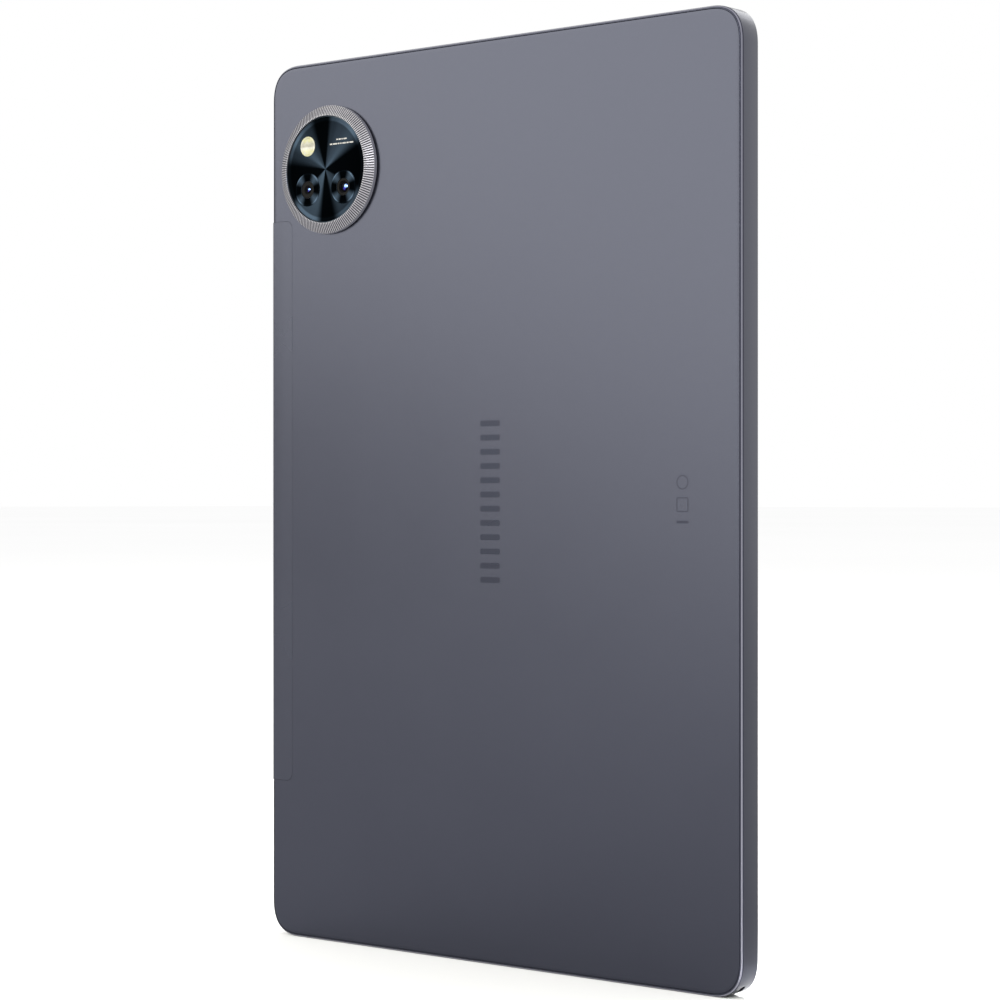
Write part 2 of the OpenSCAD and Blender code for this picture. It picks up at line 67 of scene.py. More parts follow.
def depth_of(node):
    """Depth of a node's middle below the back."""
    low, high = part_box(node)
    return BACK_Y - (low.y + high.y) / 2 / MM


# ---- sizes ---------------------------------------------------------------------------------

frame_low, frame_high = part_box("side_frame")
BODY_W = (frame_high.x - frame_low.x) / MM
BODY_H = frame_high.z / MM
BODY_T = (frame_high.y - frame_low.y) / MM
BACK_Y = frame_high.y / MM
MID_DEPTH = BODY_T / 2

# Side frame, as in the CAD model
CHAMFER = 0.6
FRONT_CHAMFER = 0.4
RIM_IN = CHAMFER + 0.18
WALL = 1.8
FRONT_WALL = 3.2
STEP_DEPTH = 4.3
SEAT_DEPTH = 6.75
GLASS_IN = 0.9
GLASS_T = 0.6
COVER_T = 0.75
COVER_IN = RIM_IN + 0.14

# Corner curve: where it leaves the straight side, the reach of its handles, and the radius of the
# arc that the speaker slots follow
CORNER_START, CORNER_HANDLE, CORNER_STEPS = 9.9, 6.6, 28
SLOT_ARC_R = 8.5

# Openings in the side wall. A speaker row's start is its run past the corner's start. The inner
# row is the straight one, and microphone holes are (x, side).
SLOT_LENGTH, SLOT_WIDTH, SLOT_PITCH, SLOT_COUNT, SLOT_START = 2.4, 1.7, 3.25, 8, 7.1
INNER_ROW_COUNT = 7
SOCKET_W, SOCKET_T = 8.94, 3.16
TRAY_FACE_L, TRAY_FACE_W = 15.0, 2.5
TRAY_SLOT_HALF_L, TRAY_SLOT_HALF_T = 6.95, 0.85
MIC_HOLES = ((-12.5, -1), (-20, 1))
MIC_HOLE_D = 1.0
ANTENNA_R = 2.3
ANTENNA_GAP = 0.07

# Keys: width of both caps, then each cap's length, its flange's length and its depth in the wall
BUTTON_W = 2.2
POWER_L, POWER_FLANGE, POWER_DEEP = 12.1, 13.9, 3.1
VOLUME_L, VOLUME_FLANGE, VOLUME_DEEP = 22.0, 23.6, 3.05
KEY_POINTS = 60

# Display area and front camera window
DISPLAY_HALF_W, DISPLAY_HALF_H = 74.05, 118.45
WINDOW_R = 1.5

# Camera bump: depths, radii, the bezel's ridges, and the lenses with their holes in the disc
BUMP_TOP, BEZEL_EDGE, BEZEL_FOOT = -2.4, -1.2, -0.1
SHELF, DISC_TOP = -1.33, -2.05
LIP_R, BEZEL_R, NECK_R, DISC_R = 15.8, 18.45, 17.8, 15.25
RIDGES = 156
RIDGE_DEPTH = 0.16
LENS_R, LENS_TOP, APERTURE = 4.8, -2.2, 2.5
LENS_STEP, LENS_BASE = -1.6, -1.05
LENS_HOLE_R, FLASH_HOLE_R = LENS_R + 0.03, 2.93
CAMERA_X, CAMERA_Z = middle("camera_ring")
FLASH_X, FLASH_Z = middle("flash_lens")
MAIN_X, MAIN_Z = middle("main_lens_glass")
SECOND_X, SECOND_Z = middle("second_lens_glass")

# Printed marks: bars down the back, outlines near its edge, rows of dashes on the camera disc
INK = 0.012
EMBLEM_BARS, EMBLEM_W, EMBLEM_BAR, EMBLEM_PITCH, EMBLEM_Z = 12, 7.0, 1.6, 3.9, 126.85
MARKS_X, MARKS_Z, MARK_SIZE, MARK_LINE = -65.2, 127.0, 3.8, 0.28
DASHES_UPPER = (0.6, 0.9, 0.5, 1.3)
DASHES_LOWER = (1.0, 1.6, 0.7, 0.6, 1.4, 0.9, 1.5)
DASHES_X, DASHES_Z = CAMERA_X - 6.4, CAMERA_Z + 7.55
DASH_H, DASH_GAP, DASH_ROW_PITCH = 0.4, 0.25, 1.22

# Gold contacts on the charging tongue
CONTACTS, CONTACT_PITCH, CONTACT_W, CONTACT_L = 12, 0.5, 0.28, 2.4

# Viewpoint in metres, the direction from the tablet to it, and its lens
VIEW_PLACE = (-0.4781, 0.56565, 0.1273)
VIEW_AWAY = (-0.6444, 0.7647, 0)
VIEW_LENS = 97.1


# ---- mesh helpers --------------------------------------------------------------------------

def point(x, depth, z):
    """Blender position of a place given across, by depth below the back, and up, in mm."""
    return Vector((x * MM, (BACK_Y - depth) * MM, z * MM))


def new_object(name, data):
    """Object with this data in the scene."""
    thing = bpy.data.objects.new(name, data)
    bpy.context.scene.collection.objects.link(thing)
    return thing


def mesh_object(name, bm):
    """Object made from a bmesh, which is freed."""
    mesh = bpy.data.meshes.new(name)
    bm.to_mesh(mesh)
    bm.free()
    return new_object(name, mesh)


def finish_mesh(name, bm, materials, body, node=None, sharp=32):
    """Turns a bmesh into a piece that rides on a body and may stand for a CAD node."""
    bmesh.ops.remove_doubles(bm, verts=bm.verts, dist=1e-7)
    bmesh.ops.recalc_face_normals(bm, faces=bm.faces)
    piece = mesh_object(name, bm)
    for material in materials:
        piece.data.materials.append(material)
    shade(piece, sharp)
    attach(piece, body)
    if node:
        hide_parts(node)
    return piece


def shade(piece, sharp=32):
    """Smooth shading that breaks at edges sharper than this many degrees."""
    piece.data.polygons.foreach_set("use_smooth", [True] * len(piece.data.polygons))
    piece.data.set_sharp_from_angle(angle=math.radians(sharp))


def outline_path():
    """Tablet's outline as (x, z, outward x, outward z), anticlockwise seen from the screen side."""
    half_w, half_h = BODY_W / 2, BODY_H / 2
    path = []
    start, handle, steps = CORNER_START, CORNER_HANDLE, CORNER_STEPS
    for quarter in range(4):
        turn = Matrix.Rotation(math.pi / 2 * quarter, 2)
        reach_x, reach_z = (half_w, half_h) if quarter % 2 == 0 else (half_h, half_w)
        controls = [(reach_x, reach_z - start), (reach_x, reach_z - start + handle),
                    (reach_x - start + handle, reach_z), (reach_x - start, reach_z)]
        controls = [Vector(c) for c in controls]
        for i in range(steps + 1):
            t = i / steps
            u = 1 - t
            place = (controls[0] * u ** 3 + controls[1] * 3 * u * u * t
                     + controls[2] * 3 * u * t * t + controls[3] * t ** 3)
            along = ((controls[1] - controls[0]) * u * u + (controls[2] - controls[1]) * 2 * u * t
                     + (controls[3] - controls[2]) * t * t)
            out = Vector((along.y, -along.x)).normalized()
            place, out = turn @ place, turn @ out
            path.append((place.x, place.y + half_h, out.x, out.y))
    return path


def circle_path(x, z, steps):
    """A circle's centre with its outward directions, so that a profile's inset is minus a radius."""
    angles = [2 * math.pi * i / steps for i in range(steps)]
    return [(x, z, math.cos(a), math.sin(a)) for a in angles]


def loft(path, profile, slots=None, closed=True, caps=()):
    """
    Sweeps a profile of (inset, depth) round a path. slots gives each profile edge's material, and
    caps names the profile points whose rings are filled with a face.
    """
    bm = bmesh.new()
    rings = []
    for x, z, out_x, out_z in path:
        rings.append([bm.verts.new(point(x - out_x * inset, depth, z - out_z * inset))
                      for inset, depth in profile])
    count = len(profile)
    edges = count if closed else count - 1
    for i, ring in enumerate(rings):
        after = rings[(i + 1) % len(rings)]
        for k in range(edges):
            m = (k + 1) % count
            face = bm.faces.new((ring[k], ring[m], after[m], after[k]))
            face.material_index = slots[k] if slots else 0
    for k in caps:
        bm.faces.new([ring[k] for ring in rings])
    return bm


def lathe(x, z, profile, steps=96, slots=None, closed=True):
    """Turns a profile of (radius, depth) about an axis through the back at x, z."""
    insets = [(-radius, depth) for radius, depth in profile]
    return loft(circle_path(x, z, steps), insets, slots, closed)


def stadium(length, width, steps=14):
    """Outline of a slot with round ends, as (along, across) points."""
    half = (length - width) / 2
    points = []
    for end in (1, -1):
        for i in range(steps + 1):
            a = math.pi * (i / steps - 0.5) + (0 if end > 0 else math.pi)
            points.append((end * half + width / 2 * math.cos(a), width / 2 * math.sin(a)))
    return points


def rounded_box(length, width, radius, steps=8):
    """Outline of a rounded rectangle, as (along, across) points."""
    points = []
    for quarter, (sx, sy) in enumerate(((1, 1), (-1, 1), (-1, -1), (1, -1))):
        for i in range(steps + 1):
            a = math.pi / 2 * (quarter + i / steps)
            points.append((sx * (length / 2 - radius) + radius * math.cos(a),
                           sy * (width / 2 - radius) + radius * math.sin(a)))
    return points


def stack(place, sections, bm=None):
    """Solid through sections of (height, outline points), each placed by a matrix (u, v, height)."""
    bm = bm or bmesh.new()
    rings = [[bm.verts.new(place @ Vector((u, v, height)) * MM) for u, v in outline]
             for height, outline in sections]
    for k in range(len(rings) - 1):
        low, high = rings[k], rings[k + 1]
        for i in range(len(low)):
            j = (i + 1) % len(low)
            bm.faces.new((low[i], low[j], high[j], high[i]))
    bm.faces.new(list(reversed(rings[0])))
    bm.faces.new(rings[-1])
    return bm


def facing(origin, along, out):
    """Matrix whose u runs along a slot, v across it and height outward, in mm."""
    along, out = Vector(along).normalized(), Vector(out).normalized()
    across = out.cross(along)
    rotation = Matrix((along, across, out)).transposed().to_4x4()
    return Matrix.Translation(Vector(origin)) @ rotation


def wall_place(x, z, out_x, out_z, depth=MID_DEPTH):
    """Matrix for something in the side wall: u runs round the outline, height is outward."""
    return facing((x, BACK_Y - depth, z), (-out_z, 0, out_x), (out_x, 0, out_z))


def solid_from(bm):
    """A throwaway object for cutting."""
    bmesh.ops.recalc_face_normals(bm, faces=bm.faces)
    return mesh_object("cutter", bm)


def cut(piece, cutters, sharp=32, operation="DIFFERENCE"):
    """Takes the cutters out of the piece, or keeps what lies in them, and drops the cutters."""
    for cutter in cutters:
        modifier = piece.modifiers.new("cut", "BOOLEAN")
        modifier.operation = operation
        modifier.solver = "EXACT"
        modifier.object = cutter
    bake_modifiers(piece)
    for cutter in cutters:
        bpy.data.objects.remove(cutter)
    shade(piece, sharp)


def bake_modifiers(piece):
    """Replaces the piece's mesh by what its modifiers make of it."""
    bpy.context.view_layer.update()
    depsgraph = bpy.context.evaluated_depsgraph_get()
    mesh = bpy.data.meshes.new_from_object(piece.evaluated_get(depsgraph))
    piece.modifiers.clear()
    piece.data = mesh


def along_outline(run, side_x, side_z):
    """Place and outward direction on the outline, a distance past a corner's start on a long side."""
    radius = SLOT_ARC_R
    arc = radius * math.pi / 2
    angle = min(run, arc) / radius
    past = max(run - arc, 0)
    out_x, out_z = side_x * math.cos(angle), side_z * math.sin(angle)
    centre_x = side_x * (BODY_W / 2 - radius - past)
    centre_z = BODY_H / 2 + side_z * (BODY_H / 2 - radius)
    return centre_x + radius * out_x, centre_z + radius * out_z, out_x, out_z


# ---- material helpers ----------------------------------------------------------------------

class Shader:
    """A node material with short calls for adding and joining nodes."""

    NAMES = {"base": "Base Color", "metallic": "Metallic", "roughness": "Roughness", "IOR": "IOR",
             "specular": "Specular IOR Level", "transmission": "Transmission Weight",
             "normal": "Normal"}

    def __init__(self, name):
        self.material = bpy.data.materials.new(name)
        self.material.use_nodes = True
        self.tree = self.material.node_tree
        self.bsdf = self.tree.nodes["Principled BSDF"]
        self.place = self.tree.nodes.new("ShaderNodeTexCoord").outputs["Object"]

    def set(self, key, value):
        """Gives one of the shader's inputs a value, a colour or a link."""
        socket = self.bsdf.inputs[self.NAMES[key]]
        if isinstance(value, bpy.types.NodeSocket):
            self.tree.links.new(value, socket)
        elif isinstance(value, tuple) and len(value) == 3:
            socket.default_value = (*value, 1)
        else:
            socket.default_value = value

    def add(self, kind, inputs=(), **properties):
        """New node with these properties, and these values or links on its inputs."""
        node = self.tree.nodes.new(kind)
        for key, value in properties.items():
            setattr(node, key, value)
        for key, value in dict(inputs).items():
            if isinstance(value, bpy.types.NodeSocket):
                self.tree.links.new(value, node.inputs[key])
            elif isinstance(value, tuple) and len(value) == 3 and node.inputs[key].type == "RGBA":
                node.inputs[key].default_value = (*value, 1)
            else:
                node.inputs[key].default_value = value
        return node

    def math(self, operation, first, second=0.0):
        node = self.add("ShaderNodeMath", {0: first, 1: second}, operation=operation)
        return node.outputs[0]

    def ramp(self, factor, stops, interpolation="LINEAR"):
        """Colour ramp through stops of (position, colour or grey)."""
        node = self.add("ShaderNodeValToRGB", {"Fac": factor})
        node.color_ramp.interpolation = interpolation
        elements = node.color_ramp.elements
        while len(elements) < len(stops):
            elements.new(0.5)
        for element, (position, colour) in zip(elements, stops):
            element.position = position
            element.color = (*colour, 1) if isinstance(colour, tuple) else (colour,) * 3 + (1,)
        return node.outputs["Color"]

    def noise(self, per_mm, detail=3.0, roughness=0.5, vector=None):
        """Noise with this many features to a millimetre."""
        node = self.add("ShaderNodeTexNoise", {"Vector": vector or self.place, "Detail": detail,
                                               "Scale": per_mm / MM, "Roughness": roughness})
        return node.outputs["Fac"]

    def between(self, value, low, high):
        """Value in 0..1 taken to low..high."""
        node = self.add("ShaderNodeMapRange", {"Value": value, "To Min": low, "To Max": high})
        return node.outputs["Result"]

    def mix(self, factor, first, second):
        """Colour between the first, at factor 0, and the second, at 1."""
        node = self.add("ShaderNodeMix", {0: factor, 6: first, 7: second}, data_type="RGBA")
        return node.outputs[2]

    def bump(self, height, distance_mm):
        node = self.add("ShaderNodeBump", {"Height": height, "Distance": distance_mm * MM,
                                           "Strength": 1.0})
        self.set("normal", node.outputs["Normal"])

    def placed(self, x, z):
        """Object coordinates, in metres, across and up from a centre given in mm."""
        node = self.add("ShaderNodeMapping", {"Vector": self.place,
                                              "Location": (-x * MM, 0, -z * MM)})
        split = self.add("ShaderNodeSeparateXYZ", {0: node.outputs[0]})
        flat = self.add("ShaderNodeCombineXYZ", {"X": split.outputs["X"], "Y": split.outputs["Z"]})
        return flat.outputs[0]

    def around(self, x, z):
        """Angle round a centre, 0 to 1 anticlockwise as seen from behind, and the radius in mm."""
        flat = self.placed(x, z)
        split = self.add("ShaderNodeSeparateXYZ", {0: flat})
        turn = self.math("ARCTAN2", split.outputs["Y"],
                         self.math("MULTIPLY", split.outputs["X"], -1.0))
        turn = self.math("FRACT", self.math("DIVIDE", turn, 2 * math.pi))
        length = self.add("ShaderNodeVectorMath", {0: flat}, operation="LENGTH").outputs["Value"]
        return turn, self.math("DIVIDE", length, MM)


def anodised(name, base, roughness, grain=0.006, metallic=1.0):
    """Bead-blasted, anodised metal: a fine grain, with faint clouds in its colour and gloss."""
    s = Shader(name)
    fine = s.noise(9, detail=2)
    clouds = s.noise(0.03, detail=2)
    dark = tuple(c * 0.96 for c in base)
    light = tuple(c * 1.04 for c in base)
    drift = s.add("ShaderNodeMath", {0: fine, 1: clouds, 2: 0.5}, operation="MULTIPLY_ADD")
    s.set("base", s.mix(drift.outputs[0], dark, light))
    s.set("metallic", metallic)
    s.set("roughness", s.between(clouds, roughness - 0.02, roughness + 0.02))
    s.bump(fine, grain)
    return s.material


def smooth_plastic(name, base, roughness, grain=0.01, per_mm=3.0, specular=0.5):
    """Moulded plastic or rubber with a fine texture and slight colour drift."""
    s = Shader(name)
    fine = s.noise(per_mm, detail=4)
    s.set("base", s.mix(s.noise(0.2), tuple(c * 0.85 for c in base), tuple(c * 1.15 for c in base)))
    s.set("roughness", s.between(fine, roughness - 0.06, roughness + 0.06))
    s.set("specular", specular)
    s.bump(fine, grain)
    return s.material


def machined(name, base, roughness):
    """Brushed metal: streaks side by side across X, in its gloss and height."""
    s = Shader(name)
    mapping = s.add("ShaderNodeMapping", {"Vector": s.place, "Scale": (40.0, 1.0, 1.0)})
    streaks = s.noise(2.0, detail=4, vector=mapping.outputs[0])
    s.set("base", s.mix(streaks, tuple(c * 0.9 for c in base), base))
    s.set("metallic", 1.0)
    s.set("roughness", s.between(streaks, roughness - 0.05, roughness + 0.08))
    s.bump(streaks, 0.002)
    return s.material


# ---- materials -----------------------------------------------------------------------------

BODY_GREY = (0.0430, 0.0452, 0.0610)
# Tones of the turned sunburst plates: the light and dim wedges are painted reflection of the sheen
# that lamps raise on the turning; the dark wedges are the plates' black.
WEDGE_DARK = (0.0006, 0.0010, 0.0014)
WEDGE_PAINTED_DIM_HIGHLIGHT = (0.016, 0.024, 0.034)
WEDGE_PAINTED_HIGHLIGHT = (0.040, 0.060, 0.084)
SUNBURST_PAINTED_SHEEN = (
    (0.00, WEDGE_DARK), (0.065, WEDGE_DARK), (0.12, WEDGE_PAINTED_HIGHLIGHT), (0.17, (0.028, 0.041, 0.058)),
    (0.215, WEDGE_PAINTED_DIM_HIGHLIGHT), (0.238, WEDGE_DARK), (0.295, WEDGE_DARK), (0.33, WEDGE_PAINTED_DIM_HIGHLIGHT),
    (0.395, WEDGE_PAINTED_HIGHLIGHT), (0.435, WEDGE_PAINTED_DIM_HIGHLIGHT), (0.48, WEDGE_DARK), (0.585, WEDGE_DARK),
    (0.635, WEDGE_PAINTED_HIGHLIGHT), (0.70, (0.042, 0.063, 0.088)), (0.735, WEDGE_DARK),
    (0.785, WEDGE_DARK), (0.825, (0.022, 0.033, 0.046)), (0.90, WEDGE_PAINTED_DIM_HIGHLIGHT), (0.94, WEDGE_DARK),
)


def sunburst_painted_sheen_disc(x, z):
    """Dark glass over a plate turned in a sunburst, with painted reflection: light wedges by angle and
    a lighter ring at its edge.
    """
    shaded_r = 16.0
    s = Shader("sunburst_painted_sheen_disc")
    turn, radius = s.around(x, z)
    # Painted reflection: the tone by angle round the disc stands in for the turned plate's sheen, so
    # the disc itself reflects almost nothing.
    painted_sheen_wedges = s.ramp(turn, SUNBURST_PAINTED_SHEEN, "EASE")
    fine = s.add("ShaderNodeTexNoise", {"Scale": 260.0, "Detail": 2.0, "W": turn},
                 noise_dimensions="1D")
    painted_sheen_wedges = s.mix(s.between(fine.outputs["Fac"], 0.0, 0.25), painted_sheen_wedges, WEDGE_DARK)
    # Tone by radius: fading outward, then a painted highlight ring near the edge.
    edge = s.ramp(s.math("DIVIDE", radius, shaded_r),
                  ((0.0, 1.0), (0.25, 0.75), (0.6, 0.6), (0.86, 0.5), (0.885, 1.3), (0.95, 1.2)))
    tone = s.add("ShaderNodeVectorMath", {0: painted_sheen_wedges, 1: edge}, operation="MULTIPLY")
    s.set("base", tone.outputs[0])
    s.set("roughness", s.between(fine.outputs["Fac"], 0.25, 0.35))
    s.set("specular", 0.0)
    return s.material


def sunburst_painted_sheen_lens(name, x, z):
    """Surround of one lens over turned rings: four soft light wedges between dark ones and a bright
    ring at its bevel, all painted reflection.
    """
    ring_pitch = 0.12
    s = Shader(name)
    turn, radius = s.around(x, z)
    quarter = s.math("FRACT", s.math("MULTIPLY", turn, 4.0))
    # Painted reflection: four light wedges round the lens, fixed to the surround.
    painted_sheen_wedges = s.ramp(quarter, ((0.0, WEDGE_DARK), (0.16, WEDGE_DARK), (0.5, WEDGE_PAINTED_HIGHLIGHT),
                              (0.84, WEDGE_DARK), (1.0, WEDGE_DARK)), "EASE")
    rings = s.math("SINE", s.math("MULTIPLY", radius, 2 * math.pi / ring_pitch))
    # Painted highlight: a bright ring at the surround's outer bevel.
    edge = s.ramp(s.math("DIVIDE", radius, LENS_R),
                  ((0.0, 0.5), (0.6, 0.5), (0.9, 0.75), (0.94, 1.8), (1.0, 1.6)))
    tone = s.add("ShaderNodeVectorMath", {0: painted_sheen_wedges, 1: edge}, operation="MULTIPLY")
    s.set("base", tone.outputs[0])
    s.set("roughness", s.between(rings, 0.25, 0.4))
    s.set("specular", 0.0)
    s.bump(rings, 0.003)
    return s.material


def screen_glass():
    """Glossy black cover glass: a lighter display area, a printed border and a camera window."""
    s = Shader("screen_glass")
    flat = s.placed(0, BODY_H / 2)
    split = s.add("ShaderNodeSeparateXYZ", {0: flat})
    inside = []
    for output, half in (("X", DISPLAY_HALF_W), ("Y", DISPLAY_HALF_H)):
        reach = s.math("ABSOLUTE", split.outputs[output])
        inside.append(s.math("LESS_THAN", reach, half * MM))
    area = s.math("MULTIPLY", *inside)
    border = s.mix(s.noise(0.02), (0.0022, 0.0022, 0.0025), (0.0030, 0.0030, 0.0034))
    _, radius = s.around(*middle("front_camera"))
    window = s.math("LESS_THAN", radius, WINDOW_R)
    eye = s.ramp(s.math("DIVIDE", radius, WINDOW_R),
                 ((0.0, (0.010, 0.014, 0.045)), (0.4, (0.003, 0.004, 0.012)),
                  (0.62, (0.001, 0.001, 0.002)), (0.7, (0.030, 0.031, 0.034)),
                  (1.0, (0.020, 0.021, 0.024))))
    sheet = s.mix(area, border, (0.0065, 0.0072, 0.0085))
    s.set("base", s.mix(window, sheet, eye))
    s.set("roughness", s.between(s.noise(0.05, detail=5), 0.03, 0.07))
    return s.material


def cloth_mesh():
    """Fine woven dust mesh."""
    thread = 0.14
    s = Shader("dust_mesh")
    weave = s.add("ShaderNodeTexChecker", {"Vector": s.place, "Scale": 1 / (thread * MM)})
    s.set("base", s.mix(weave.outputs["Fac"], (0.008, 0.008, 0.009), (0.05, 0.05, 0.055)))
    s.set("roughness", 0.8)
    s.bump(weave.outputs["Fac"], 0.03)
    return s.material


def circuit_board():
    """Green solder mask with faint tracks and gold pads."""
    s = Shader("circuit_board")
    flat = s.placed(0, 0)
    tracks = s.add("ShaderNodeTexBrick", {"Vector": flat, "Scale": 0.5 / MM, "Mortar Size": 0.08})
    pads = s.add("ShaderNodeTexVoronoi", {"Vector": flat, "Scale": 0.35 / MM}, feature="F1")
    mask = s.mix(tracks.outputs["Fac"], (0.006, 0.075, 0.04), (0.012, 0.13, 0.07))
    is_pad = s.math("LESS_THAN", pads.outputs["Distance"], 0.12)
    s.set("base", s.mix(is_pad, mask, (0.8, 0.55, 0.2)))
    s.set("metallic", is_pad)
    s.set("roughness", 0.35)
    s.bump(tracks.outputs["Fac"], 0.02)
    return s.material


def battery_foil():
    """Silver pouch with soft creases."""
    s = Shader("battery_foil")
    creases = s.noise(0.12, detail=6, roughness=0.6)
    s.set("base", s.mix(creases, (0.38, 0.38, 0.40), (0.6, 0.6, 0.62)))
    s.set("metallic", 0.9)
    s.set("roughness", s.between(creases, 0.25, 0.45))
    s.bump(creases, 0.15)
    return s.material


def flexible_circuit():
    """Amber film with copper lines."""
    s = Shader("flexible_circuit")
    lines = s.add("ShaderNodeTexWave", {"Vector": s.place, "Scale": 0.4 / MM, "Distortion": 0.4})
    s.set("base", s.mix(lines.outputs["Fac"], (0.32, 0.12, 0.02), (0.65, 0.32, 0.09)))
    s.set("roughness", 0.4)
    s.bump(lines.outputs["Fac"], 0.01)
    return s.material


def flash_cream():
    """Clear ribbed lens over a yellow emitter: a pale middle band, yellower above and below."""
    low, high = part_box("flash_lens")
    s = Shader("flash_cream")
    split = s.add("ShaderNodeSeparateXYZ", {0: s.place})
    height = s.add("ShaderNodeMapRange", {"Value": split.outputs["Z"], "From Min": low.z,
                                          "From Max": high.z}).outputs["Result"]
    tone = s.ramp(height, ((0.0, (0.26, 0.25, 0.14)), (0.22, (0.40, 0.38, 0.18)),
                           (0.42, (0.46, 0.445, 0.38)), (0.5, (0.25, 0.235, 0.19)),
                           (0.62, (0.27, 0.26, 0.20)), (0.8, (0.40, 0.385, 0.20)),
                           (1.0, (0.24, 0.23, 0.14))))
    patches = s.between(s.noise(1.1), -1.2, 1.8)
    s.set("base", s.mix(patches, tone, (0.36, 0.35, 0.30)))
    s.set("roughness", 0.25)
    s.set("specular", 0.3)
    return s.material


def clear_glass():
    """Clear glass with a faint coating colour and a trace of dust in its gloss."""
    s = Shader("lens_clear")
    s.set("base", (0.75, 0.82, 1.0))
    s.set("roughness", s.between(s.noise(0.5, detail=4), 0.0, 0.02))
    s.set("transmission", 1.0)
    s.set("IOR", 1.45)
    s.set("specular", 0.05)
    return s.material


def lens_with_painted_glint(name, x, z, glint_r):
    """Black front element with a painted highlight: a pale blue glint and a violet halo below it,
    fixed off centre.
    """
    s = Shader(name)
    tone = (0.0008, 0.0007, 0.002)
    metal = 0.0
    # Painted highlight: each patch is a lighter, metallic spot that stands in for lamp light glinting
    # on the coated glass.
    for across, up, reach, colour in ((0.35, -0.75, 0.75, (0.035, 0.03, 0.30)),
                                      (1.1, 0.3, 1.0, (0.30, 0.48, 1.0))):
        _, radius = s.around(x - across * glint_r, z + up * glint_r)
        painted_glint_patch = s.ramp(s.math("DIVIDE", radius, reach * glint_r),
                       ((0.0, 1.0), (0.35, 0.8), (1.0, 0.0)), "EASE")
        tone = s.mix(painted_glint_patch, tone, colour)
        metal = s.math("MAXIMUM", painted_glint_patch, metal)
    s.set("base", tone)
    s.set("metallic", metal)
    s.set("roughness", 0.22)
    s.set("specular", 0.02)
    return s.material


BODY = anodised("body_metal", BODY_GREY, 0.26)
BODY_PLASTIC = anodised("body_plastic", BODY_GREY, 0.27, grain=0.004, metallic=0.97)
SIDE = anodised("side_metal", (0.0385, 0.0405, 0.0545), 0.3)
CHAMFER_METAL = anodised("chamfer_metal", (0.235, 0.235, 0.285), 0.22, grain=0.001)
SEAM_METAL = anodised("seam_metal", (0.034, 0.036, 0.052), 0.3)
SEAM_DARK = smooth_plastic("seam_dark", (0.012, 0.012, 0.018), 0.6)
BEZEL = anodised("bezel_metal", (0.235, 0.23, 0.255), 0.38, grain=0.002, metallic=0.55)
# Painted shade: dark matte stands in for the shade down in the bezel's grooves, which are the same
# metal as the ridges.
BEZEL_GROOVE_PAINTED_SHADE = smooth_plastic("bezel_groove_painted_shade", (0.038, 0.038, 0.045), 0.6, specular=0.05)
BEZEL_WALL = anodised("bezel_wall", (0.2, 0.2, 0.24), 0.4, metallic=0.1)
BUTTON = anodised("button_metal", (0.28, 0.29, 0.32), 0.3)
BLACK_PLASTIC = smooth_plastic("black_plastic", (0.012, 0.012, 0.013), 0.5)
RUBBER = smooth_plastic("rubber", (0.008, 0.008, 0.009), 0.8)
STEEL = machined("sheet_steel", (0.55, 0.55, 0.56), 0.25)
GOLD = machined("gold_contacts", (0.9, 0.62, 0.25), 0.2)
LENS_PRINT = smooth_plastic("lens_print", (0.004, 0.0039, 0.0037), 0.6, grain=0.002, specular=0.05)
LENS_BEVEL = anodised("lens_bevel", (0.03, 0.042, 0.056), 0.3, grain=0.001)
CHIP = smooth_plastic("chip", (0.02, 0.02, 0.022), 0.55)
GRAPHITE = smooth_plastic("graphite", (0.03, 0.03, 0.033), 0.35)
LIGHT_GUIDE = smooth_plastic("light_guide", (0.8, 0.8, 0.8), 0.3)
PHOSPHOR = smooth_plastic("phosphor", (0.8, 0.65, 0.12), 0.4)
PANEL = smooth_plastic("display_panel_glass", (0.01, 0.01, 0.012), 0.1, grain=0.0005)
EMBLEM = anodised("emblem_print", (0.0255, 0.0275, 0.0390), 0.27, grain=0.001)
DISC_PRINT = smooth_plastic("disc_print", (0.30, 0.29, 0.27), 0.5, grain=0.001)
SCREEN = screen_glass()
MESH_CLOTH = cloth_mesh()
BOARD = circuit_board()
FOIL = battery_foil()
FLEX = flexible_circuit()
LENS_CLEAR = clear_glass()
FLASH = flash_cream()

SLOT_MATERIALS = {
    "anodised_metal": BODY, "coated_plastic": BODY_PLASTIC, "black_plastic": BLACK_PLASTIC,
    "bezel_metal": BEZEL, "button_metal": BUTTON, "rubber_seal": RUBBER,
    "disc_glass": BLACK_PLASTIC, "lens_ring_metal": LENS_BEVEL, "lens_glass": LENS_CLEAR,
    "flash_plastic": FLASH, "led_package": PHOSPHOR, "camera_housing": BLACK_PLASTIC,
    "sheet_steel": STEEL, "cover_glass": SCREEN, "display": PANEL, "backlight": LIGHT_GUIDE,
    "adhesive": RUBBER, "flex": FLEX, "battery_foil": FOIL, "circuit_board": BOARD,
    "chip": CHIP, "graphite": GRAPHITE, "speaker_plastic": BLACK_PLASTIC,
    "mesh_cloth": MESH_CLOTH,
}

for entry in frame["record"]["subparts"]:
    node_mesh = frame["nodes"][entry["node"]].data
    node_mesh.materials.clear()
    node_mesh.materials.append(SLOT_MATERIALS[entry["material_slot"]])


# ---- casing --------------------------------------------------------------------------------

